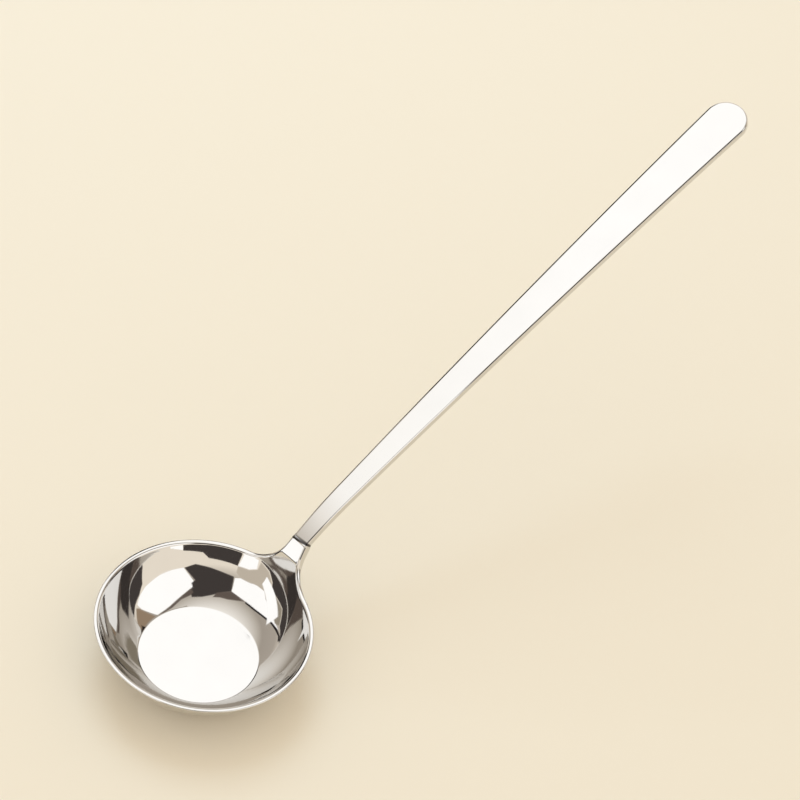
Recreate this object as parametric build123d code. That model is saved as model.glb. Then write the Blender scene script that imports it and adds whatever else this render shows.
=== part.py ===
from build123d import *
import os
from math import cos, degrees, radians, sin, sqrt, tan

# Bowl: a round cup pressed from sheet, its flat underside on z = 0 and its axis on Z
rim_diameter = 56.0
base_diameter = 31.6
bowl_height = 13.9
sheet = 1.2
rim_angle = 72.0
lip_height = 2.0
floor_crease_radius = 1.8

# Neck: the wall carried up past the rim toward +X and creased back into a short tapering strip
flare_radius = 8.0
neck_taper_angle = 8.7
crease_height = 4.8
crease_radius = 1.5
strip_angle = 59.2
strip_length = 4.9
under_straight = 1.0

# Weld: a dressed seam that turns from the strip into the handle
weld_inner_radius = 1.5

# Handle: a flat bar that widens to a full-round tip and arches over its length
handle_length = 168.6
handle_root_width = 4.84
handle_tip_width = 12.1
handle_thickness = 2.5
handle_root_angle = 38.0
handle_middle_angle = 27.4
root_bend_radius = 86.0
arch_radius = 1850.0

# Every cut edge is broken by this small chamfer, so the three sections meet flush
edge_break = 0.3

# Tool sizes that only have to clear the object, and the tolerance for picking edges
clear_of_bowl = rim_diameter
touch = 0.01


def along(angle):
    """Unit step up a line at this angle to the table, in the middle plane."""
    return Vector(cos(radians(angle)), sin(radians(angle)))


def under(angle):
    """Unit step square to that line, toward its underside."""
    return Vector(sin(radians(angle)), -cos(radians(angle)))


def in_space(point):
    """A middle-plane point (x, z) as a point of the object."""
    return Vector(point.X, 0, point.Y)


# Bowl wall: outer arc first, inner arc about the same centre
rim_radius = rim_diameter / 2
lip_foot = Vector(rim_radius, bowl_height) - along(rim_angle) * (lip_height / sin(radians(rim_angle)))
outer_wall = TangentArc(lip_foot, (base_diameter / 2, 0), tangent=-along(rim_angle))
wall_centre = outer_wall.arc_center
inner_wall_radius = outer_wall.radius - sheet
inner_lip_foot = lip_foot - under(rim_angle) * sheet
floor_reach = sqrt(inner_wall_radius**2 - (wall_centre.Y - sheet) ** 2)
floor_edge = Vector(wall_centre.X + floor_reach, sheet)

# Middle-plane points of the neck, and the line under it that the weld turns about
inner_rise = bowl_height + crease_height - inner_lip_foot.Y
neck_crease = inner_lip_foot + along(rim_angle) * (inner_rise / sin(radians(rim_angle)))
neck_top = neck_crease + along(strip_angle) * strip_length
neck_under = neck_top + under(strip_angle) * handle_thickness
weld_axis = neck_under + under(strip_angle) * weld_inner_radius
weld_outer_radius = weld_inner_radius + handle_thickness
handle_root = weld_axis - under(handle_root_angle) * weld_outer_radius
half_root = handle_root_width / 2
outer_rise = lip_height + under_straight
under_start = lip_foot + along(rim_angle) * (outer_rise / sin(radians(rim_angle)))


def across(top, angle):
    """The plane square to the neck or handle at a point of its top face."""
    return Plane(in_space(top), x_dir=(0, 1, 0), z_dir=in_space(along(angle)))


neck_end = across(neck_top, strip_angle)
handle_end = across(handle_root, handle_root_angle)


def near(shape, point):
    """The corner of a flat shape that lies nearest to a point."""
    return shape.vertices().sort_by_distance((point.X, point.Y, 0))[0]


def half_neck(height):
    """Half the neck's width at a height: it tapers to the handle's width at the handle's root."""
    return half_root + (handle_root.Y - height) * tan(radians(neck_taper_angle))


def trim_punch():
    """One side of the trimming tool, which leaves the rim, a flare and the tapering side of the neck."""
    corner = Vector(half_neck(bowl_height), bowl_height)
    top = bowl_height + clear_of_bowl
    side = make_face(
        Polyline(
            corner,
            (clear_of_bowl, bowl_height),
            (clear_of_bowl, top),
            (half_root, top),
            (half_root, handle_root.Y),
            close=True,
        )
    )
    side = fillet(near(side, corner), flare_radius)
    return extrude(Plane.YZ * side, clear_of_bowl)


def trimmed_edges(cup):
    """Edges left by the trimming tool: round the rim, up the flares and along the neck."""

    def is_cut(face):
        return face.center().Z > bowl_height - touch and abs(face.normal_at().X) < touch

    def off_end(edge):
        return abs(neck_end.to_local_coords(edge @ 0.5).Z) > touch

    return cup.faces().filter_by(is_cut).edges().filter_by(Axis.X, reverse=True).filter_by(off_end)


def make_bowl():
    """The cup and its neck, turned as one tall wall and trimmed down to the rim and the neck."""
    beyond = along(strip_angle) * sheet
    outline = [
        Line((0, 0), (base_diameter / 2, 0)),
        outer_wall,
        Line(lip_foot, under_start),
        Spline(under_start, neck_under, tangents=[along(rim_angle), along(strip_angle)]),
        Polyline(neck_under, neck_under + beyond, neck_top + beyond, neck_crease, inner_lip_foot),
        RadiusArc(inner_lip_foot, floor_edge, inner_wall_radius),
        Polyline(floor_edge, (0, sheet), (0, 0)),
    ]
    section = make_face(outline)
    section = fillet(near(section, Vector(base_diameter / 2, 0)), floor_crease_radius + sheet)
    section = fillet(near(section, floor_edge), floor_crease_radius)
    section = fillet(near(section, neck_crease), crease_radius)
    tall_cup = revolve(Plane.XZ * section, Axis.Z)
    punch = trim_punch()
    behind = Pos(-clear_of_bowl / 2, 0, bowl_height + clear_of_bowl / 2) * Box(
        clear_of_bowl, 2 * clear_of_bowl, clear_of_bowl
    )
    cup = tall_cup - [punch, mirror(punch, Plane.XZ), behind]
    cup = split(cup, neck_end, keep=Keep.BOTTOM)
    return chamfer(trimmed_edges(cup), edge_break)


def make_handle():
    """The bar: its bent and arched side view and its tapering plan, with every long edge broken."""
    root_turn = handle_middle_angle - handle_root_angle
    arch_turn = -degrees(handle_length / arch_radius)
    root_under = handle_root + under(handle_root_angle) * handle_thickness
    top_bend = JernArc(handle_root, along(handle_root_angle), root_bend_radius, root_turn)
    top_arch = JernArc(top_bend @ 1, top_bend % 1, arch_radius, arch_turn)
    low_bend = JernArc(root_under, along(handle_root_angle), root_bend_radius - handle_thickness, root_turn)
    low_arch = JernArc(low_bend @ 1, low_bend % 1, arch_radius - handle_thickness, arch_turn)
    root_face = Line(handle_root, root_under)
    far_face = Line(top_arch @ 1, low_arch @ 1)
    band = make_face([top_bend, top_arch, low_bend, low_arch, root_face, far_face])
    bar = extrude(Plane.XZ * band, handle_tip_width, both=True)

    half_tip = handle_tip_width / 2
    tip_centre = handle_length - half_tip
    widening = (half_tip - half_root) / tip_centre
    behind_root = -handle_thickness
    left_root = Vector(behind_root, half_root + widening * behind_root)
    left_tip = Vector(tip_centre, half_tip)
    right_root = Vector(left_root.X, -left_root.Y)
    right_tip = Vector(left_tip.X, -left_tip.Y)
    plan = make_face(
        [
            Line(right_root, right_tip),
            TangentArc(right_tip, left_tip, tangent=right_tip - right_root),
            Line(left_tip, left_root),
            Line(left_root, right_root),
        ]
    )
    lengthwise = in_space(along(handle_middle_angle))
    upward = -in_space(under(handle_middle_angle))
    lie = Plane(in_space(handle_root), x_dir=lengthwise, z_dir=upward)
    handle = bar & extrude(lie * plan, handle_length / 2, both=True)

    def off_root(edge):
        return abs(handle_end.to_local_coords(edge @ 0.5).Z) > touch

    broken = handle.edges().filter_by(off_root)
    for seam in (Axis.Y, Axis((0, 0, 0), upward)):
        broken = broken.filter_by(seam, reverse=True)
    return chamfer(broken, edge_break)


def weld_section(half_top, half_under):
    """A section of the seam, flush with the broken edges beside it."""
    section = make_face(
        Polyline(
            (half_top, 0),
            (half_under, -handle_thickness),
            (-half_under, -handle_thickness),
            (-half_top, 0),
            close=True,
        )
    )
    return chamfer(section.vertices(), edge_break)


def make_weld():
    """The dressed seam, which turns and narrows from the neck's end to the handle's root."""
    neck_section = neck_end * weld_section(half_neck(neck_top.Y), half_neck(neck_under.Y))
    root_section = handle_end * weld_section(half_root, half_root)
    return loft([neck_section, root_section], ruled=True)


pieces = {
    "bowl": make_bowl(),
    "neck_weld": make_weld(),
    "handle": make_handle(),
}

os.makedirs("parts", exist_ok=True)
for name, shape in pieces.items():
    shape.label = name
    export_step(shape, f"parts/{name}.step")
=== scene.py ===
from math import asin, atan, atan2, cos, pi, radians, sin, sqrt, tan

import bmesh
import bpy
from bpy.props import FloatProperty, FloatVectorProperty, PointerProperty
from mathutils import Matrix, Vector
from mathutils.geometry import interpolate_bezier


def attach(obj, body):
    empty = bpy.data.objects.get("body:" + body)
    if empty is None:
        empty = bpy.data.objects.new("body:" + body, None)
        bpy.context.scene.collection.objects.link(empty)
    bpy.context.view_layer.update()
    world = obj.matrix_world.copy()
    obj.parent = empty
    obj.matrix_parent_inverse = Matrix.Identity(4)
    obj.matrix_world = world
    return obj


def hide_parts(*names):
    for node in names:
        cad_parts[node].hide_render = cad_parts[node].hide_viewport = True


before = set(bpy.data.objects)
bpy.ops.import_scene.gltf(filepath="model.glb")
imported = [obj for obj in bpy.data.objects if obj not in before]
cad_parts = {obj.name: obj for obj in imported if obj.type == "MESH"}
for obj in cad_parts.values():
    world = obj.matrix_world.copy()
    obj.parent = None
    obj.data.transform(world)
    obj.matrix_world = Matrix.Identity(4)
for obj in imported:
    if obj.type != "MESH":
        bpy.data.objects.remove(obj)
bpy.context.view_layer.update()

bl_info = {
    "name": "Soup Spoon",
    "version": (1, 0, 0),
    "blender": (4, 5, 0),
    "location": "View3D > Sidebar > Spoon",
    "description": "Dresses the spoon's solids with smooth polished surfaces and a plain stage",
    "category": "Add Mesh",
}

MM = 0.001

# Facets across a polished edge, and the least turn between two faces that counts as a sharp edge
edge_segments = 5
sharp_angle = 1.0

# Spacing at which the polishing lines are drawn, and how far one runs along the handle
line_pitch = 0.5 * MM
line_run = 40 * MM

# Brightness of the room in reflections, at which a white card looks just white in the steel
room_level = 1.41


def linear(hex_colour):
    """An sRGB hex colour as linear red, green and blue."""
    channels = [int(hex_colour[i : i + 2], 16) / 255 for i in (1, 3, 5)]
    return tuple(c / 12.92 if c <= 0.04045 else ((c + 0.055) / 1.055) ** 2.4 for c in channels)


class SpoonSizes(bpy.types.PropertyGroup):
    """Sizes of the bowl, its neck, the weld and the handle."""

    rim_diameter: FloatProperty(
        name="Rim diameter",
        description="Across the outside of the rim",
        default=56.0 * MM,
        unit="LENGTH",
    )
    base_diameter: FloatProperty(
        name="Base diameter",
        description="Where wall and underside would meet",
        default=31.6 * MM,
        unit="LENGTH",
    )
    bowl_height: FloatProperty(
        name="Bowl height",
        description="From the underside to the rim",
        default=13.9 * MM,
        unit="LENGTH",
    )
    sheet: FloatProperty(
        name="Sheet",
        description="Thickness of the bowl's steel",
        default=1.2 * MM,
        unit="LENGTH",
    )
    rim_angle: FloatProperty(
        name="Rim angle",
        description="Rise of the wall at the rim",
        default=radians(65.5),
        subtype="ANGLE",
    )
    floor_crease_radius: FloatProperty(
        name="Floor crease",
        description="Inside radius round the flat floor",
        default=0.9 * MM,
        unit="LENGTH",
    )
    flare_radius: FloatProperty(
        name="Flare radius",
        description="Sweep from the rim up into the neck",
        default=8.0 * MM,
        unit="LENGTH",
    )
    neck_taper_angle: FloatProperty(
        name="Neck taper",
        description="Lean of the neck's sides",
        default=radians(8.7),
        subtype="ANGLE",
    )
    crease_height: FloatProperty(
        name="Crease height",
        description="Rise of the neck's crease above the rim",
        default=4.8 * MM,
        unit="LENGTH",
    )
    crease_radius: FloatProperty(
        name="Crease radius",
        description="Bend of the neck's crease",
        default=4.5 * MM,
        unit="LENGTH",
    )
    strip_angle: FloatProperty(
        name="Strip angle",
        description="Rise of the neck's strip",
        default=radians(59.2),
        subtype="ANGLE",
    )
    strip_length: FloatProperty(
        name="Strip length",
        description="From the neck's crease to the weld",
        default=4.9 * MM,
        unit="LENGTH",
    )
    under_straight: FloatProperty(
        name="Straight under neck",
        description="Straight wall above the rim, outside",
        default=1.0 * MM,
        unit="LENGTH",
    )
    weld_inner_radius: FloatProperty(
        name="Weld radius",
        description="Bend of the weld, underneath",
        default=1.5 * MM,
        unit="LENGTH",
    )
    handle_length: FloatProperty(
        name="Handle length",
        description="From the weld to the tip",
        default=168.1 * MM,
        unit="LENGTH",
    )
    handle_root_width: FloatProperty(
        name="Root width",
        description="Width at the weld",
        default=4.84 * MM,
        unit="LENGTH",
    )
    handle_tip_width: FloatProperty(
        name="Tip width",
        description="Width where the tip's round begins",
        default=12.1 * MM,
        unit="LENGTH",
    )
    handle_thickness: FloatProperty(
        name="Handle thickness",
        description="Thickness of the bar",
        default=2.5 * MM,
        unit="LENGTH",
    )
    handle_root_angle: FloatProperty(
        name="Root angle",
        description="Rise of the bar at the weld",
        default=radians(38.0),
        subtype="ANGLE",
    )
    handle_middle_angle: FloatProperty(
        name="Middle angle",
        description="Rise of the bar past its bend",
        default=radians(27.4),
        subtype="ANGLE",
    )
    root_bend_radius: FloatProperty(
        name="Root bend",
        description="Bend of the bar next to the weld",
        default=86.0 * MM,
        unit="LENGTH",
    )
    arch_radius: FloatProperty(
        name="Arch",
        description="Radius of the long arch",
        default=1850.0 * MM,
        unit="LENGTH",
    )
    rim_round: FloatProperty(
        name="Rim round",
        description="How far the rim's edges are polished away",
        default=0.63 * MM,
        unit="LENGTH",
    )
    edge_round: FloatProperty(
        name="Edge round",
        description="How far each cut edge is polished away",
        default=0.68 * MM,
        unit="LENGTH",
    )


class SpoonFinish(bpy.types.PropertyGroup):
    """Colours and polish of the steel."""

    steel: FloatVectorProperty(
        name="Steel",
        description="Colour of the polished steel",
        default=linear("#DEDCD9"),
        size=3,
        subtype="COLOR",
    )
    weld: FloatVectorProperty(
        name="Weld",
        description="Colour of the dressed weld",
        default=linear("#D8D6D3"),
        size=3,
        subtype="COLOR",
    )
    fusion_line: FloatVectorProperty(
        name="Fusion line",
        description="Dark line left along the weld",
        default=linear("#4A4644"),
        size=3,
        subtype="COLOR",
    )
    roughness: FloatProperty(
        name="Roughness",
        description="Haze left by the last polish",
        default=0.035,
        min=0.0,
        max=1.0,
        subtype="FACTOR",
    )


class SpoonStage(bpy.types.PropertyGroup):
    """Floor, light and view."""

    floor: FloatVectorProperty(
        name="Floor",
        description="Colour of the floor",
        default=linear("#F4EFE4"),
        size=3,
        subtype="COLOR",
    )
    wall: FloatVectorProperty(
        name="Wall",
        description="Colour of the room low down",
        default=linear("#E2D9CB"),
        size=3,
        subtype="COLOR",
    )
    fill: FloatVectorProperty(
        name="Fill",
        description="Colour of the light from all round",
        default=linear("#FFF0D8"),
        size=3,
        subtype="COLOR",
    )
    key: FloatVectorProperty(
        name="Key",
        description="Colour of the lamps",
        default=linear("#C8E8FF"),
        size=3,
        subtype="COLOR",
    )
    lens: FloatProperty(name="Lens", description="Focal length", default=117.0, unit="CAMERA")


def up_step(angle):
    """Unit step up a line at this angle to the floor, in the spoon's middle plane."""
    return Vector((cos(angle), 0, sin(angle)))


def under_step(angle):
    """Unit step square to that line, toward its underside."""
    return Vector((sin(angle), 0, -cos(angle)))


class NeckPlan:
    """Places in the middle plane that the bowl, the weld and the handle share."""

    def __init__(self, s):
        rise, inward = up_step(s.rim_angle), -under_step(s.rim_angle)
        self.rim = Vector((s.rim_diameter / 2, 0, s.bowl_height))
        to_base = Vector((s.base_diameter / 2, 0, 0)) - self.rim
        self.wall_radius = to_base.length_squared / (2 * to_base.dot(inward))
        self.wall_centre = self.rim + inward * self.wall_radius
        neck_foot = self.rim - Vector((s.sheet / rise.z, 0, 0))
        self.crease = neck_foot + rise * (s.crease_height / rise.z)
        self.under_start = self.rim + rise * (s.under_straight / rise.z)
        self.neck_top = self.crease + up_step(s.strip_angle) * s.strip_length
        self.neck_under = self.neck_top + under_step(s.strip_angle) * s.handle_thickness
        self.weld_axis = self.neck_under + under_step(s.strip_angle) * s.weld_inner_radius
        self.weld_radius = s.weld_inner_radius + s.handle_thickness
        self.handle_root = self.weld_axis - under_step(s.handle_root_angle) * self.weld_radius
        self.half_root = s.handle_root_width / 2
        self.taper = tan(s.neck_taper_angle)

    def half_neck(self, height):
        """Half the neck's width at a height: it tapers to the handle's width at the handle's root."""
        return self.half_root + (self.handle_root.z - height) * self.taper


def draw_run(bm, chain, point, rows):
    """Draws a straight run of a section on from its last vertex."""
    start = chain[-1].co.copy()
    for row in range(rows):
        chain += bmesh.ops.extrude_vert_indiv(bm, verts=[chain[-1]])["verts"]
        chain[-1].co = start.lerp(point, (row + 1) / rows)


def draw_arc(bm, chain, centre, angle, rows):
    """Draws an arc of a section on from its last vertex, upward and outward for a positive angle."""
    for row in range(rows):
        chain += bmesh.ops.extrude_vert_indiv(bm, verts=[chain[-1]])["verts"]
        bmesh.ops.rotate(bm, verts=[chain[-1]], cent=centre, matrix=Matrix.Rotation(-angle / rows, 3, "Y"))


class Skin:
    """One face of the bowl's sheet: the section that was drawn for it, and the edge it is trimmed to."""

    def __init__(self, s, plan, points, wall_start, end):
        self.s = s
        self.points = [Vector((p.x, 0, p.z)) for p in points]
        self.lengths = [0.0]
        for a, b in zip(self.points, self.points[1:]):
            self.lengths.append(self.lengths[-1] + (b - a).length)
        self.wall_start = self.lengths[wall_start]
        self.end = end
        self.last = self.lengths[-1]
        self.end_step = up_step(s.strip_angle)
        self.sweep = pi / 2 - s.neck_taper_angle
        self.flare_foot = plan.half_neck(s.bowl_height) + s.flare_radius * tan(self.sweep / 2)
        self.rim_radius = self.at(self.reach(s.bowl_height)).x
        self.flare_turn = asin(self.flare_foot / self.rim_radius)
        low, high = 0.0, s.flare_radius * self.sweep + s.strip_length
        for halving in range(50):
            middle = (low + high) / 2
            beyond = (self.climb_point(middle) - self.end).dot(self.end_step) > 0
            low, high = (low, middle) if beyond else (middle, high)
        self.climb = low
        self.half_width = self.climb_point(low).y

    def at(self, length):
        """The section's place at this length along it."""
        k = next((i for i, reach in enumerate(self.lengths) if reach >= length), len(self.lengths) - 1)
        k = max(k, 1)
        part = (length - self.lengths[k - 1]) / (self.lengths[k] - self.lengths[k - 1])
        return self.points[k - 1].lerp(self.points[k], part)

    def reach(self, height):
        """The length along the section at which the wall or neck has this height."""
        k = next((i for i, p in enumerate(self.points) if p.z >= height and i > 0), len(self.points) - 1)
        a, b = self.points[k - 1], self.points[k]
        return self.lengths[k - 1] + (height - a.z) / (b.z - a.z) * (self.lengths[k] - self.lengths[k - 1])

    def off_middle(self, height, y):
        """The skin's point at a height and a distance from the middle plane."""
        radius = self.at(self.reach(height)).x
        return Vector((sqrt(radius**2 - y**2), y, height))

    def climb_point(self, climbed):
        """The trimmed edge this far up from the rim: round the flare, then along the neck."""
        flare = self.s.flare_radius
        turn = min(climbed / flare, self.sweep)
        straight = climbed - turn * flare
        height = self.s.bowl_height + flare * (1 - cos(turn)) + straight * sin(self.sweep)
        return self.off_middle(height, self.flare_foot - flare * sin(turn) - straight * cos(self.sweep))

    def end_point(self, y):
        """The neck's end, this far from the middle plane."""
        drop = self.end.x - sqrt(self.end.x**2 - y**2)
        height = self.end.z + drop * self.end_step.x * self.end_step.z
        return self.off_middle(height, y)

    def rim_point(self, turn):
        """The rim at this angle from the handle."""
        return Vector((self.rim_radius * cos(turn), self.rim_radius * sin(turn), self.s.bowl_height))

    def slope(self, point):
        """Unit step up the skin at one of its points, away from the bowl's axis."""
        length = self.reach(point.z)
        step = 0.02 * MM
        ahead = self.at(length + step) - self.at(length - step)
        turn = atan2(point.y, point.x)
        return Vector((ahead.x * cos(turn), ahead.x * sin(turn), ahead.z)).normalized()


class BowlMesh:
    """The bowl as rows along its section and columns round it, the front ones drawn up into the neck."""

    end_columns, climb_columns, rim_columns = 5, 30, 118
    floor_rows, crease_rows, wall_rows = 6, 10, 40
    neck_rows, fold_rows, strip_rows = 12, 8, 12
    under_rows, under_straight_rows = 24, 6
    round_rows, land_rows = 5, 4
    # A row this far out along the flat keeps its shading level up to the crease
    flat_part = 0.98
    squeeze = 0.8 * MM
    same_place = 0.0005 * MM

    def __init__(self, s, plan):
        self.s, self.plan = s, plan
        self.half = self.end_columns + self.climb_columns + self.rim_columns
        self.bm = bmesh.new()
        self.row_layer = self.bm.verts.layers.int.new("row")

    def draw_section(self):
        """Draws the sheet's section: along the floor, up to the neck's end and back underneath."""
        s, plan, bm = self.s, self.plan, self.bm
        centre, radius = plan.wall_centre, plan.wall_radius
        inner_radius = radius - s.sheet
        crease_high = s.sheet + s.floor_crease_radius
        crease_reach = inner_radius - s.floor_crease_radius
        crease_out = sqrt(crease_reach**2 - (centre.z - crease_high) ** 2)
        crease_centre = Vector((centre.x + crease_out, 0, crease_high))
        crease_turn = atan2(crease_out, centre.z - crease_high)
        wall_turn = s.rim_angle - crease_turn
        floor_edge = Vector((crease_centre.x, 0, s.sheet))
        fold = s.rim_angle - s.strip_angle
        before_fold = plan.crease - up_step(s.rim_angle) * (s.crease_radius * tan(fold / 2))
        fold_centre = before_fold + under_step(s.rim_angle) * s.crease_radius
        past_end = up_step(s.strip_angle) * s.sheet

        chain = [bm.verts.new((0, 0, s.sheet))]
        draw_run(bm, chain, Vector((floor_edge.x * self.flat_part, 0, s.sheet)), self.floor_rows)
        draw_run(bm, chain, floor_edge, 1)
        draw_arc(bm, chain, crease_centre, crease_turn, self.crease_rows)
        wall_start = len(chain) - 1
        draw_arc(bm, chain, centre, wall_turn, self.wall_rows)
        draw_run(bm, chain, before_fold, self.neck_rows)
        draw_arc(bm, chain, fold_centre, -fold, self.fold_rows)
        draw_run(bm, chain, plan.neck_top, self.strip_rows)
        draw_run(bm, chain, plan.neck_top + past_end, 1)
        inner_rows = len(chain)
        inner_points = [v.co.copy() for v in chain]

        draw_run(bm, chain, plan.neck_under + past_end, 2 * self.round_rows + self.land_rows)
        outer_first = len(chain) - 1
        draw_run(bm, chain, plan.neck_under, 1)
        pull = (plan.neck_under - plan.under_start).length / 3
        under_curve = interpolate_bezier(
            plan.neck_under,
            plan.neck_under - up_step(s.strip_angle) * pull,
            plan.under_start + up_step(s.rim_angle) * pull,
            plan.under_start,
            self.under_rows + 1,
        )
        for point in under_curve[1:]:
            draw_run(bm, chain, point, 1)
        draw_run(bm, chain, plan.rim, self.under_straight_rows)
        draw_arc(bm, chain, centre, -wall_turn, self.wall_rows)
        outer_wall_start = len(chain) - 1
        draw_arc(bm, chain, crease_centre, -crease_turn, self.crease_rows)
        draw_run(bm, chain, Vector((crease_centre.x * self.flat_part, 0, 0)), 1)
        draw_run(bm, chain, Vector((0, 0, 0)), self.floor_rows)
        outer_points = [v.co.copy() for v in reversed(chain[outer_first:])]

        self.inner_rows, self.outer_first, self.rows = inner_rows, outer_first, len(chain)
        for row, vert in enumerate(chain):
            vert[self.row_layer] = row
        self.inner = Skin(s, plan, inner_points, wall_start, plan.neck_top)
        self.outer = Skin(s, plan, outer_points, len(chain) - 1 - outer_wall_start, plan.neck_under)

    def edge_round(self, column):
        """How far the trimmed edge is polished away: the rim's value, eased to the weld's up the neck."""
        climbed = min(max((self.end_columns + self.climb_columns - column) / self.climb_columns, 0), 1)
        return self.s.rim_round + (self.s.edge_round - self.s.rim_round) * climbed

    def trim_point(self, skin, column):
        """Where a column meets the trimmed edge of a skin.

        Columns count from the middle of the neck round to the back of the rim.
        """
        if column < self.end_columns:
            return skin.end_point((skin.half_width - self.s.edge_round) * column / self.end_columns)
        if column <= self.end_columns + self.climb_columns:
            return skin.climb_point(skin.climb * (1 - (column - self.end_columns) / self.climb_columns))
        part = (column - self.end_columns - self.climb_columns) / self.rim_columns
        return skin.rim_point(skin.flare_turn + (pi - skin.flare_turn) * part)

    def round_start(self, skin, column):
        """Where a column leaves the skin for the rounded edge."""
        edge = self.trim_point(skin, column)
        if column < self.end_columns:
            return edge
        behind = self.trim_point(skin, max(column - 0.5, self.end_columns))
        along = self.trim_point(skin, column + 0.5) - behind
        normal = skin.slope(edge).cross(Vector((-edge.y, edge.x, 0)))
        inward = along.cross(normal).normalized()
        in_and_down = Vector((0, -1, -0.5))
        if inward.dot(in_and_down) < 0:
            inward = -inward
        return edge + inward * self.edge_round(column)

    def column_points(self, column):
        """Every row's place in one column on the left-hand side."""
        inner_edge, outer_edge = (self.trim_point(k, column) for k in (self.inner, self.outer))
        across = (outer_edge - inner_edge).normalized() * self.edge_round(column)
        inner_start, outer_start = (self.round_start(k, column) for k in (self.inner, self.outer))
        rounds, land = self.round_rows, self.land_rows
        total = 2 * rounds + land
        edge_points = []
        for row in range(1, total):
            if column < self.end_columns:
                edge_points.append(inner_edge.lerp(outer_edge, row / total))
            elif row <= rounds:
                u = row / rounds
                edge_points.append(inner_edge + (inner_start - inner_edge) * (1 - u) ** 2 + across * u**2)
            elif row < rounds + land:
                u = (row - rounds) / land
                edge_points.append((inner_edge + across).lerp(outer_edge - across, u))
            else:
                u = (row - rounds - land) / rounds
                edge_points.append(outer_edge - across * (1 - u) ** 2 + (outer_start - outer_edge) * u**2)
        inner_points = self.skin_points(self.inner, column, inner_start)
        outer_points = self.skin_points(self.outer, column, outer_start)
        return inner_points + edge_points + outer_points[::-1]

    def skin_points(self, skin, column, top):
        """A column's places on one skin, from the axis to the edge.

        The rows that the trim would cut away are squeezed together just below the edge.
        """
        top_turn = atan2(top.y, top.x)
        top_length = skin.reach(top.z)
        front = self.end_columns + self.climb_columns
        foot_turn = skin.flare_turn * column / front if column < front else top_turn
        knee = top_length - self.squeeze
        places = []
        for length in skin.lengths:
            if length > knee:
                length = knee + self.squeeze * (length - knee) / (skin.last - knee)
            part = max(0, (length - skin.wall_start) / (top_length - skin.wall_start))
            turn = foot_turn + (top_turn - foot_turn) * part
            place = skin.at(length)
            places.append(Vector((place.x * cos(turn), place.x * sin(turn), place.z)))
        return places

    def make(self):
        """Spins the section into a tall cup, then moves its rows to the trimmed rim and neck."""
        bm = self.bm
        self.draw_section()
        steps = 2 * self.half
        bmesh.ops.spin(
            bm,
            geom=bm.verts[:] + bm.edges[:],
            cent=(0, 0, 0),
            axis=(0, 0, 1),
            angle=2 * pi,
            steps=steps,
            use_merge=True,
        )
        columns = [self.column_points(column) for column in range(self.half + 1)]
        for vert in bm.verts:
            turn = atan2(vert.co.y, vert.co.x)
            place = columns[round(abs(turn) / (2 * pi) * steps)][vert[self.row_layer]]
            vert.co = Vector((place.x, place.y if turn > 0 else -place.y, place.z))
        bmesh.ops.remove_doubles(bm, verts=bm.verts[:], dist=self.same_place)
        bmesh.ops.recalc_face_normals(bm, faces=bm.faces[:])
        return bm


def weld_mesh(s, plan):
    """The dressed seam: the bar's rounded section, turned onto the neck's end and eased to its width."""
    weld_steps = 12
    bm = bmesh.new()
    corners = bmesh.ops.create_grid(bm, x_segments=1, y_segments=1, size=0.5)["verts"]
    bmesh.ops.scale(bm, vec=(s.handle_root_width, s.handle_thickness, 1), verts=corners)
    bmesh.ops.bevel(
        bm,
        geom=corners,
        offset=s.edge_round,
        segments=edge_segments,
        profile=0.5,
        affect="VERTICES",
        material=-1,
    )
    middle = (plan.neck_top + plan.neck_under) / 2
    lie = Matrix.Translation(middle) @ Matrix.Rotation(pi / 2 - s.strip_angle, 4, "Y")
    bmesh.ops.transform(bm, matrix=lie @ Matrix.Rotation(pi / 2, 4, "Z"), verts=bm.verts[:])
    outline = bm.edges[:]
    bmesh.ops.delete(bm, geom=bm.faces[:], context="FACES_ONLY")
    weld_turn = s.strip_angle - s.handle_root_angle
    bmesh.ops.spin(
        bm,
        geom=bm.verts[:] + outline,
        cent=plan.weld_axis,
        axis=(0, 1, 0),
        angle=weld_turn,
        steps=weld_steps,
    )
    bmesh.ops.holes_fill(bm, edges=bm.edges[:], sides=0)
    for vert in bm.verts:
        out = vert.co - plan.weld_axis
        angle = atan2(-out.x, out.z)
        depth = plan.weld_radius - sqrt(out.x**2 + out.z**2)
        toward_neck = (angle - s.handle_root_angle) / weld_turn
        half = plan.half_neck(plan.neck_top.lerp(plan.neck_under, depth / s.handle_thickness).z)
        vert.co.y *= 1 + (half / plan.half_root - 1) * toward_neck
        trough = vert.co.y**2 / (2 * plan.neck_top.x) * sin(s.strip_angle)
        vert.co -= under_step(angle) * trough * toward_neck
    bmesh.ops.recalc_face_normals(bm, faces=bm.faces[:])
    return bm


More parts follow.
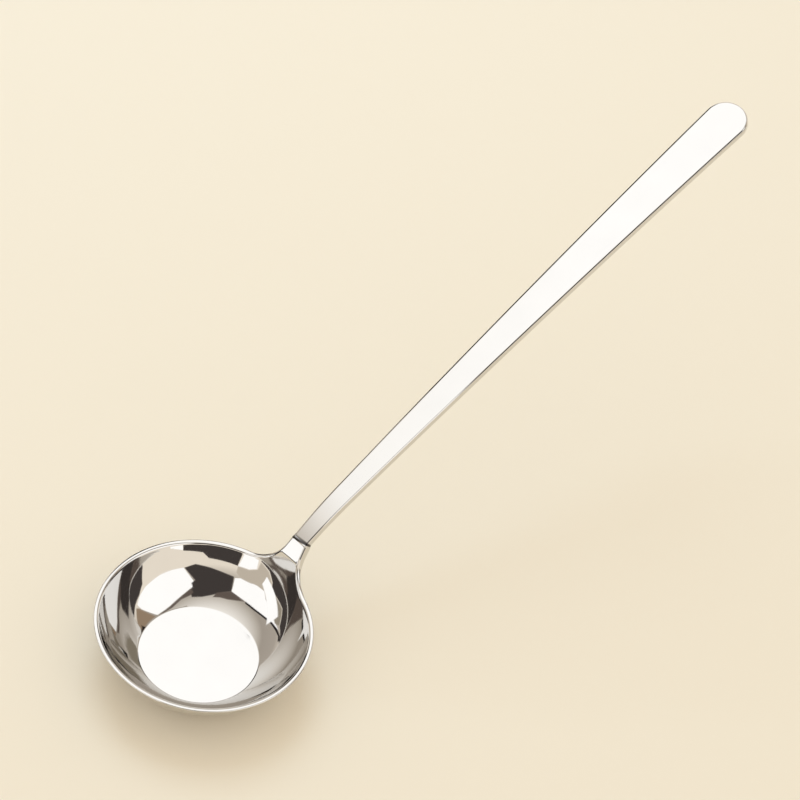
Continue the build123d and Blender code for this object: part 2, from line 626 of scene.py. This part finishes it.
def handle_mesh(s, plan):
    """The bar: a tapering plan with a round tip, thickened, rounded along its edges and bent to its arch."""
    tip_steps, bend_cuts, arch_cuts = 48, 24, 80
    short_of_tip, touch = 1 * MM, 0.01 * MM
    bm = bmesh.new()
    half_root, half_tip = s.handle_root_width / 2, s.handle_tip_width / 2
    tip_start = s.handle_length - half_tip
    widening = atan((half_tip - half_root) / tip_start)
    root = bm.edges.new([bm.verts.new((0, half_root * k, 0)) for k in (-1, 1)])
    taper = bmesh.ops.extrude_edge_only(bm, edges=[root])["geom"]
    for vert in (k for k in taper if isinstance(k, bmesh.types.BMVert)):
        vert.co = (tip_start, half_tip if vert.co.y > 0 else -half_tip, 0)
    shoulder = next(k for k in taper if isinstance(k, bmesh.types.BMEdge))
    right = min(shoulder.verts, key=lambda vert: vert.co.y)
    bmesh.ops.spin(
        bm,
        geom=[right],
        cent=(tip_start + half_tip * widening, 0, 0),
        axis=(0, 0, 1),
        angle=pi + 2 * widening,
        steps=tip_steps,
    )
    bmesh.ops.remove_doubles(bm, verts=bm.verts[:], dist=touch)
    tip_outline = [edge for edge in bm.edges if len(edge.link_faces) == 0 or edge == shoulder]
    bmesh.ops.contextual_create(bm, geom=tip_outline)
    lean = s.handle_root_angle - s.handle_middle_angle
    bend_reach = s.root_bend_radius * sin(lean)
    arch_reach = s.handle_length - short_of_tip - bend_reach
    places = [bend_reach * cut / bend_cuts for cut in range(1, bend_cuts)]
    places += [bend_reach + arch_reach * cut / arch_cuts for cut in range(arch_cuts)]
    for place in places:
        bmesh.ops.bisect_plane(
            bm,
            geom=bm.verts[:] + bm.edges[:] + bm.faces[:],
            plane_co=(place, 0, 0),
            plane_no=(1, 0, 0),
            dist=touch,
        )
    bmesh.ops.recalc_face_normals(bm, faces=bm.faces[:])
    bmesh.ops.solidify(bm, geom=bm.faces[:], thickness=s.handle_thickness)
    top = max(vert.co.z for vert in bm.verts)
    bmesh.ops.translate(bm, vec=(0, 0, -top), verts=bm.verts[:])
    bmesh.ops.recalc_face_normals(bm, faces=bm.faces[:])
    long_edges = [
        edge
        for edge in bm.edges
        if len(edge.link_faces) == 2
        and edge.calc_face_angle() > sharp_angle
        and max(vert.co.x for vert in edge.verts) > touch
    ]
    bmesh.ops.bevel(
        bm,
        geom=long_edges,
        offset=s.edge_round,
        segments=edge_segments,
        profile=0.5,
        affect="EDGES",
        material=-1,
    )

    bend_rise = s.root_bend_radius * (1 - cos(lean))
    along, upward = up_step(s.handle_middle_angle), -under_step(s.handle_middle_angle)
    for vert in bm.verts:
        x, y, depth = vert.co.x, vert.co.y, -vert.co.z
        x += depth * sin(lean) * max(0, 1 - x / bend_reach)
        radius = s.root_bend_radius if x < bend_reach else s.arch_radius
        height = bend_rise - radius + sqrt((radius - depth) ** 2 - (x - bend_reach) ** 2)
        vert.co = plan.handle_root + along * x + upward * height + Vector((0, y, 0))
    return bm


def add_node(tree, kind, inputs=None, links=None, **settings):
    """Adds a node, sets its values and links its inputs."""
    node = tree.nodes.new(kind)
    for name, value in settings.items():
        setattr(node, name, value)
    for name, value in (inputs or {}).items():
        node.inputs[name].default_value = value
    for name, socket in (links or {}).items():
        tree.links.new(socket, node.inputs[name])
    return node


def round_lay(tree, pitch):
    """Coordinates for lines that run round the bowl's axis, one unit to a pitch across them."""
    place = add_node(tree, "ShaderNodeTexCoord")
    axes = add_node(tree, "ShaderNodeSeparateXYZ", links={"Vector": place.outputs["Object"]})
    x, y, z = (axes.outputs[k] for k in "XYZ")
    turn = add_node(tree, "ShaderNodeMath", operation="ARCTAN2", links={0: y, 1: x})
    flat = add_node(tree, "ShaderNodeCombineXYZ", links={"X": x, "Y": y})
    span = add_node(tree, "ShaderNodeVectorMath", operation="LENGTH", links={0: flat.outputs["Vector"]})
    out = span.outputs["Value"]
    reach = add_node(tree, "ShaderNodeMath", operation="DIVIDE", inputs={1: pitch}, links={0: out})
    height = add_node(tree, "ShaderNodeMath", operation="DIVIDE", inputs={1: pitch}, links={0: z})
    return add_node(
        tree,
        "ShaderNodeCombineXYZ",
        links={"X": reach.outputs["Value"], "Y": height.outputs["Value"], "Z": turn.outputs["Value"]},
    )


def straight_lay(tree, pitch, angle, run):
    """Coordinates for lines along the handle, one unit to a pitch across them and to a run along them."""
    place = add_node(tree, "ShaderNodeTexCoord")
    return add_node(
        tree,
        "ShaderNodeMapping",
        vector_type="TEXTURE",
        inputs={"Rotation": (0, -angle, 0), "Scale": (run, pitch, pitch)},
        links={"Vector": place.outputs["Object"]},
    )


def polished_steel(name, colour, roughness, lay, *lay_sizes):
    """Stainless steel brought to a mirror on buffing wheels.

    The wheels leave hair-fine lines along their path and a thin uneven haze, so the steel mirrors the room
    cleanly and its highlights feather a little across the lines. Real lines lie about 0.05 mm apart and are
    drawn coarser, so that they show.
    """
    haze_size, line_depth = 9 * MM, 0.001 * MM
    clean, hazed = roughness * 0.4, roughness * 2
    hazed_colour = tuple(channel * 0.95 for channel in colour)
    material = bpy.data.materials.new(name)
    material.use_nodes = True
    tree = material.node_tree
    shader = tree.nodes["Principled BSDF"]
    shader.inputs["Metallic"].default_value = 1.0
    where = lay(tree, *lay_sizes).outputs["Vector"]
    lines = add_node(
        tree, "ShaderNodeTexNoise", inputs={"Scale": 1.0, "Detail": 3.0}, links={"Vector": where}
    )
    place = add_node(tree, "ShaderNodeTexCoord").outputs["Object"]
    haze = add_node(
        tree,
        "ShaderNodeTexNoise",
        inputs={"Scale": 1 / haze_size, "Detail": 2.0},
        links={"Vector": place},
    )
    dull = add_node(
        tree,
        "ShaderNodeMath",
        operation="MULTIPLY",
        links={0: lines.outputs["Fac"], 1: haze.outputs["Fac"]},
    )
    rough = add_node(
        tree,
        "ShaderNodeMapRange",
        inputs={"From Min": 0.1, "From Max": 0.45, "To Min": clean, "To Max": hazed},
        links={"Value": dull.outputs["Value"]},
    )
    tint = add_node(tree, "ShaderNodeMix", data_type="RGBA", links={0: haze.outputs["Fac"]})
    tint.inputs["A"].default_value = (*colour, 1)
    tint.inputs["B"].default_value = (*hazed_colour, 1)
    relief = add_node(
        tree,
        "ShaderNodeBump",
        inputs={"Strength": 0.5, "Distance": line_depth},
        links={"Height": lines.outputs["Fac"]},
    )
    tree.links.new(tint.outputs["Result"], shader.inputs["Base Color"])
    tree.links.new(rough.outputs["Result"], shader.inputs["Roughness"])
    tree.links.new(relief.outputs["Normal"], shader.inputs["Normal"])
    return material


def draw_fusion_line(steel, colour, middle, along):
    """The line where the weld fused and was ground flush: its oxide stays dark beside the bright steel.

    It is darkest along the neck's side, fades toward the handle and crosses a little out of square.
    """
    half_width, lean = 0.8 * MM, 0.2
    bright_stops, dark_stops = (0.1, 1.0), (0.2, 0.45)
    tree = steel.node_tree
    shader = tree.nodes["Principled BSDF"]
    step = along.normalized()
    place = add_node(tree, "ShaderNodeTexCoord")
    past = add_node(
        tree,
        "ShaderNodeVectorMath",
        operation="DOT_PRODUCT",
        inputs={1: (step.x, lean, step.z)},
        links={0: place.outputs["Object"]},
    )
    off = add_node(
        tree,
        "ShaderNodeMath",
        operation="SUBTRACT",
        inputs={1: middle.dot(step)},
        links={0: past.outputs["Value"]},
    )
    part = add_node(
        tree,
        "ShaderNodeMapRange",
        inputs={"From Min": -half_width, "From Max": half_width},
        links={"Value": off.outputs["Value"]},
    )
    fused = add_node(tree, "ShaderNodeValToRGB", links={"Fac": part.outputs["Result"]})
    for stop, position in zip(fused.color_ramp.elements, bright_stops):
        stop.position, stop.color = position, (0, 0, 0, 1)
    for position in dark_stops:
        fused.color_ramp.elements.new(position).color = (1, 1, 1, 1)
    bright = shader.inputs["Base Color"].links[0].from_socket
    shade = add_node(tree, "ShaderNodeMix", data_type="RGBA", links={0: fused.outputs["Color"]})
    tree.links.new(bright, shade.inputs["A"])
    shade.inputs["B"].default_value = (*colour, 1)
    tree.links.new(shade.outputs["Result"], shader.inputs["Base Color"])


def finish_piece(name, bm, material, node):
    """Turns a bmesh into a smooth piece that rides on the spoon and stands for one of its solids."""
    crisp_turn = radians(40)
    mesh = bpy.data.meshes.new(name)
    bm.to_mesh(mesh)
    bm.free()
    mesh.materials.append(material)
    mesh.shade_smooth()
    mesh.set_sharp_from_angle(angle=crisp_turn)
    piece = bpy.data.objects.new(name, mesh)
    bpy.context.scene.collection.objects.link(piece)
    weighted = piece.modifiers.new("even polish", "WEIGHTED_NORMAL")
    weighted.keep_sharp = True
    weighted.weight = 50
    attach(piece, "root")
    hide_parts(node)
    return piece


class SPOON_OT_bowl(bpy.types.Operator):
    """Make the pressed bowl with its flat floor, ground rim and flared neck"""

    bl_idname = "spoon.bowl"
    bl_label = "Bowl"

    def execute(self, context):
        s, finish = context.scene.spoon_sizes, context.scene.spoon_finish
        name = "mirror-polished stainless steel, turned"
        steel = polished_steel(name, finish.steel, finish.roughness, round_lay, line_pitch)
        finish_piece("polished_bowl", BowlMesh(s, NeckPlan(s)).make(), steel, "bowl")
        return {"FINISHED"}


class SPOON_OT_weld(bpy.types.Operator):
    """Make the dressed weld that turns from the neck into the handle"""

    bl_idname = "spoon.weld"
    bl_label = "Neck weld"

    def execute(self, context):
        s, finish = context.scene.spoon_sizes, context.scene.spoon_finish
        plan = NeckPlan(s)
        name = "dressed stainless steel weld"
        steel = polished_steel(name, finish.weld, finish.roughness, round_lay, line_pitch)
        middle, along = (plan.neck_top + plan.handle_root) / 2, plan.handle_root - plan.neck_top
        draw_fusion_line(steel, finish.fusion_line, middle, along)
        finish_piece("polished_weld", weld_mesh(s, plan), steel, "neck_weld")
        return {"FINISHED"}


class SPOON_OT_handle(bpy.types.Operator):
    """Make the flat tapering handle with its round tip"""

    bl_idname = "spoon.handle"
    bl_label = "Handle"

    def execute(self, context):
        s, finish = context.scene.spoon_sizes, context.scene.spoon_finish
        name = "mirror-polished stainless steel, drawn"
        lay_sizes = (line_pitch, s.handle_middle_angle, line_run)
        steel = polished_steel(name, finish.steel, finish.roughness, straight_lay, *lay_sizes)
        finish_piece("polished_handle", handle_mesh(s, NeckPlan(s)), steel, "handle")
        return {"FINISHED"}


def sky_step(azimuth, zenith):
    """Unit step toward a place in the room, in degrees round from the handle and down from overhead."""
    a, z = radians(azimuth), radians(zenith)
    return Vector((cos(a) * sin(z), sin(a) * sin(z), cos(z)))


def add_card(name, corners, colour, distance, feather):
    """A flat studio card far off in the room, given by the directions of its corners."""
    steps = [sky_step(*corner) for corner in corners]
    middle = sum(steps, Vector()).normalized()
    add_panel(name, [step * (distance / step.dot(middle)) for step in steps], colour, feather)


def add_panel(name, places, colour, feather):
    """A flat glowing panel with a soft border, which only shows as a reflection in the polished steel."""
    bm = bmesh.new()
    glow = bm.verts.layers.float.new("glow")
    card = bm.faces.new([bm.verts.new(place) for place in places])
    card.normal_update()
    bmesh.ops.inset_individual(bm, faces=[card], thickness=feather, use_even_offset=True)
    for vert in bm.verts:
        vert[glow] = 0.0 if vert.is_boundary else 1.0
    mesh = bpy.data.meshes.new(name)
    bm.to_mesh(mesh)
    bm.free()
    material = bpy.data.materials.new(name)
    material.use_nodes = True
    tree = material.node_tree
    tree.nodes.clear()
    border = add_node(tree, "ShaderNodeAttribute", attribute_name="glow")
    clear = add_node(tree, "ShaderNodeBsdfTransparent")
    light = add_node(tree, "ShaderNodeEmission", inputs={"Color": (*colour, 1), "Strength": room_level})
    shade = add_node(
        tree,
        "ShaderNodeMixShader",
        links={0: border.outputs["Fac"], 1: clear.outputs["BSDF"], 2: light.outputs["Emission"]},
    )
    add_node(tree, "ShaderNodeOutputMaterial", links={"Surface": shade.outputs["Shader"]})
    mesh.materials.append(material)
    panel = bpy.data.objects.new(name, mesh)
    bpy.context.scene.collection.objects.link(panel)
    panel.visible_camera = False
    panel.visible_diffuse = False
    panel.visible_transmission = False
    panel.visible_shadow = False


# Shades of the studio cards, from the lamps' diffusers down to black flags
card_shades = {
    "white": "#FFFFFF",
    "sand": "#BAB0A2",
    "brown": "#8F7C68",
    "grey": "#8E8678",
    "umber": "#5E544E",
    "dark": "#3E3937",
    "black": "#1E1B1A",
}

# How far a card's border fades, in metres
crisp, soft, hazy, misty = 0.015, 0.05, 0.15, 0.2

# Far cards: shade, distance, border and corners, in degrees round from the handle and down from overhead.
# The bowl mirrors them as bright boxes and dark flags, and a nearer card hides the ones behind it.
far_cards = {
    "overhead_softbox": ("white", 3.2, misty, [(100, 22), (82, 44), (62, 56), (15, 56), (350, 24)]),
    "ceiling_shade": (
        "grey", 2.9, hazy,
        [(262, 31), (285, 33), (310, 37), (335, 42), (345, 34), (330, 22), (285, 18), (262, 22)],
    ),
    "left_softbox": (
        "white", 3.0, crisp,
        [
            (117, 74), (126, 70), (144, 67), (153, 67), (160, 70), (170, 68), (180, 65),
            (188, 64), (195, 61), (191, 48), (168, 50), (144, 57), (126, 67),
        ],
    ),
    "left_line": (
        "black", 2.9, crisp,
        [
            (107, 75), (112, 74), (119, 70), (128, 65), (141, 57), (154, 51.5), (167, 48.5),
            (168, 50.3), (155, 53.3), (142, 58.6), (129, 66.6), (120, 72), (112, 76), (107, 77),
        ],
    ),
    "left_gap": (
        "grey", 3.1, soft,
        [(121, 74), (134, 79), (149, 77), (156, 77), (153, 66), (144, 66), (126, 69)],
    ),
    "left_wall": (
        "sand", 3.1, soft,
        [
            (153, 66), (156, 77), (159, 81), (167, 86), (178, 88), (178, 80), (185, 75),
            (197, 73), (196, 66), (188, 63), (180, 64), (170, 67), (160, 69),
        ],
    ),
    "back_flag": (
        "dark", 3.0, crisp,
        [
            (104, 77), (112, 76), (121, 74.5), (134, 79), (149, 77), (156, 77.5), (159, 81.5),
            (167, 86.5), (178, 88.5), (178, 89.5), (104, 89.5),
        ],
    ),
    "left_window": (
        "white", 3.0, soft,
        [(178, 79.5), (185, 74.5), (197, 72), (195, 88), (180, 88.5)],
    ),
    "camera_flag": (
        "dark", 2.95, soft,
        [
            (196, 62), (191, 48), (202, 43), (215, 38), (231, 35), (250, 36), (250, 42),
            (246, 46), (247, 49.5), (242, 51.5), (253, 65), (240, 67), (224, 64), (208, 62),
        ],
    ),
    "camera_flag_edge": (
        "umber", 2.94, soft,
        [(167, 50), (177, 44.5), (189, 40), (202, 38), (215, 36), (210, 42), (191, 49)],
    ),
    "right_softbox": (
        "white", 3.0, crisp,
        [
            (245, 45.5), (267, 40.5), (289, 40), (311, 45.5), (318, 63), (318, 68.5), (309, 69.5),
            (299, 69.5), (279, 68), (266, 66.5), (258, 65.5), (253, 65), (243, 51),
        ],
    ),
    "right_line": (
        "umber", 2.9, soft,
        [
            (240, 42), (250, 38), (267, 37.5), (289, 37), (305, 40), (311, 45), (289, 40),
            (267, 40.5), (246, 45.5),
        ],
    ),
    "brown_patch": (
        "brown", 3.05, soft,
        [(313, 46), (318.5, 65), (321, 69), (338, 65), (341, 62), (326, 53)],
    ),
    "right_flag": (
        "dark", 2.95, soft,
        [
            (333, 68.6), (320, 69.8), (309, 69.7), (300, 73), (293, 84.5), (292, 89.5),
            (327, 89.5), (329, 80), (331, 73),
        ],
    ),
    "front_shelf": (
        "dark", 3.0, crisp,
        [
            (197, 72.5), (208, 72), (227, 72.3), (233, 77.5), (252, 81), (252, 89.5), (224, 89.5),
            (196, 89),
        ],
    ),
    "front_window": ("white", 3.0, crisp, [(252, 81.5), (264, 86), (264, 89.5), (252.2, 89.5)]),
}

# Near cards: shade, border and corners, in millimetres. One brightens the neck's strip, and the flags
# draw a dark line down each edge of the handle.
near_cards = {
    "neck_card": ("white", 1, [(-106, 34, 31.8), (-13, 34, 22.2), (-13, 34, 32.5), (-106, 34, 50.6)]),
    "left_root_flag": ("black", 4, [(30, 90, 0), (75, 90, 0), (75, 90, 114), (30, 90, 92)]),
    "left_edge_flag": ("black", 4, [(70, 40, 5), (200, 40, 45), (200, 40, 152), (70, 40, 88)]),
    "right_edge_flag": ("black", 4, [(80, -30, 53), (190, -30, 106), (190, -30, 150), (80, -30, 97)]),
}

# The room's brightest place, in degrees round from the handle and down from overhead, and the shades that
# lead up to it, each by the cosine of its angle from there
brightest_place = (80, 10)
room_shades = {
    0.45: "#A59D93",
    0.64: "#9F978D",
    0.69: "#B3ACA2",
    0.75: "#C9C3BB",
    0.84: "#E6E2DC",
    0.93: "#F9F8F6",
}

# Lamps: degrees round from the handle and down from overhead, and watts
lamps = {
    "overhead_lamp": (58, 38, 1.9),
    "left_lamp": (150, 50, 0.25),
}


class SPOON_OT_stage(bpy.types.Operator):
    """Make the floor, the studio light and the camera"""

    bl_idname = "spoon.stage"
    bl_label = "Stage"

    floor_half = 6.0
    fill_level = 0.87
    lamp_size, lamp_distance = 0.5, 0.9

    def execute(self, context):
        stage = context.scene.spoon_stage
        self.add_floor(stage)
        self.add_room(context.scene, stage)
        self.add_cards()
        self.add_lamps(stage)
        self.add_camera(context.scene, stage)
        context.scene.view_settings.view_transform = "Standard"
        return {"FINISHED"}

    def add_floor(self, stage):
        """A pale board, painted and dried matt, so it takes soft shadows and shows no gloss."""
        bm = bmesh.new()
        bmesh.ops.create_grid(bm, x_segments=1, y_segments=1, size=self.floor_half)
        mesh = bpy.data.meshes.new("floor")
        bm.to_mesh(mesh)
        bm.free()
        material = bpy.data.materials.new("matt painted board")
        material.use_nodes = True
        shader = material.node_tree.nodes["Principled BSDF"]
        shader.inputs["Base Color"].default_value = (*stage.floor, 1)
        shader.inputs["Roughness"].default_value = 0.9
        mesh.materials.append(material)
        floor = bpy.data.objects.new("floor", mesh)
        bpy.context.scene.collection.objects.link(floor)

    def add_room(self, scene, stage):
        """A plain room: its reflections are bright overhead and greyer all round, and its light is even."""
        wall_stop, white_stop = 0.25, 0.98
        world = bpy.data.worlds.new("studio")
        world.use_nodes = True
        tree = world.node_tree
        tree.nodes.clear()
        place = add_node(tree, "ShaderNodeTexCoord")
        nearness = add_node(
            tree,
            "ShaderNodeVectorMath",
            operation="DOT_PRODUCT",
            inputs={1: sky_step(*brightest_place)},
            links={0: place.outputs["Generated"]},
        )
        ramp = add_node(tree, "ShaderNodeValToRGB", links={"Fac": nearness.outputs["Value"]})
        low, high = ramp.color_ramp.elements
        low.position, low.color = wall_stop, (*stage.wall, 1)
        high.position, high.color = white_stop, (*linear("#FFFFFF"), 1)
        for position, shade in room_shades.items():
            ramp.color_ramp.elements.new(position).color = (*linear(shade), 1)
        seen = add_node(
            tree,
            "ShaderNodeBackground",
            inputs={"Strength": room_level},
            links={"Color": ramp.outputs["Color"]},
        )
        fill = add_node(
            tree, "ShaderNodeBackground", inputs={"Color": (*stage.fill, 1), "Strength": self.fill_level}
        )
        path = add_node(tree, "ShaderNodeLightPath")
        shade = add_node(
            tree,
            "ShaderNodeMixShader",
            links={
                0: path.outputs["Is Diffuse Ray"],
                1: seen.outputs["Background"],
                2: fill.outputs["Background"],
            },
        )
        add_node(tree, "ShaderNodeOutputWorld", links={"Surface": shade.outputs["Shader"]})
        scene.world = world

    def add_cards(self):
        """The cards that the steel mirrors."""
        for name, (shade, distance, border, corners) in far_cards.items():
            add_card(name, corners, linear(card_shades[shade]), distance, border)
        for name, (shade, border, corners) in near_cards.items():
            places = [Vector(corner) * MM for corner in corners]
            add_panel(name, places, linear(card_shades[shade]), border * MM)

    def add_lamps(self, stage):
        """Two soft lamps, which light the floor and cast the spoon's shadow."""
        for name, (azimuth, zenith, power) in lamps.items():
            lamp = bpy.data.lights.new(name, "AREA")
            lamp.shape = "SQUARE"
            lamp.size = self.lamp_size
            lamp.energy = power
            lamp.color = stage.key
            holder = bpy.data.objects.new(name, lamp)
            step = sky_step(azimuth, zenith)
            holder.location = step * self.lamp_distance
            holder.rotation_euler = step.to_track_quat("Z", "Y").to_euler()
            holder.visible_glossy = False
            bpy.context.scene.collection.objects.link(holder)

    def add_camera(self, scene, stage):
        """The camera, given by its three axes and its place."""
        data = bpy.data.cameras.new("camera")
        data.lens = stage.lens
        camera = bpy.data.objects.new("camera", data)
        right = (0.68816, -0.70452, 0.17347)
        up = (0.42358, 0.58421, 0.69231)
        back = (-0.58908, -0.40294, 0.70044)
        place = Vector((-327.09, -264.93, 518.44)) * MM
        camera.matrix_world = Matrix.Translation(place) @ Matrix((right, up, back)).transposed().to_4x4()
        scene.collection.objects.link(camera)
        scene.camera = camera


class SPOON_PT_panel(bpy.types.Panel):
    """Lists the spoon's pieces, sizes and finish"""

    bl_idname = "SPOON_PT_panel"
    bl_label = "Soup Spoon"
    bl_space_type = "VIEW_3D"
    bl_region_type = "UI"
    bl_category = "Spoon"

    def draw(self, context):
        scene = context.scene
        for operator in pieces_in_order:
            self.layout.operator(operator.bl_idname)
        for group in (scene.spoon_sizes, scene.spoon_finish, scene.spoon_stage):
            box = self.layout.box()
            for name in group.__annotations__:
                box.prop(group, name)


pieces_in_order = (SPOON_OT_bowl, SPOON_OT_weld, SPOON_OT_handle, SPOON_OT_stage)
classes = (SpoonSizes, SpoonFinish, SpoonStage, *pieces_in_order, SPOON_PT_panel)


def register():
    for cls in classes:
        bpy.utils.register_class(cls)
    bpy.types.Scene.spoon_sizes = PointerProperty(type=SpoonSizes)
    bpy.types.Scene.spoon_finish = PointerProperty(type=SpoonFinish)
    bpy.types.Scene.spoon_stage = PointerProperty(type=SpoonStage)


def unregister():
    del bpy.types.Scene.spoon_stage
    del bpy.types.Scene.spoon_finish
    del bpy.types.Scene.spoon_sizes
    for cls in reversed(classes):
        bpy.utils.unregister_class(cls)


def main():
    register()
    bpy.ops.spoon.bowl()
    bpy.ops.spoon.weld()
    bpy.ops.spoon.handle()
    bpy.ops.spoon.stage()


if __name__ == "__main__":
    main()
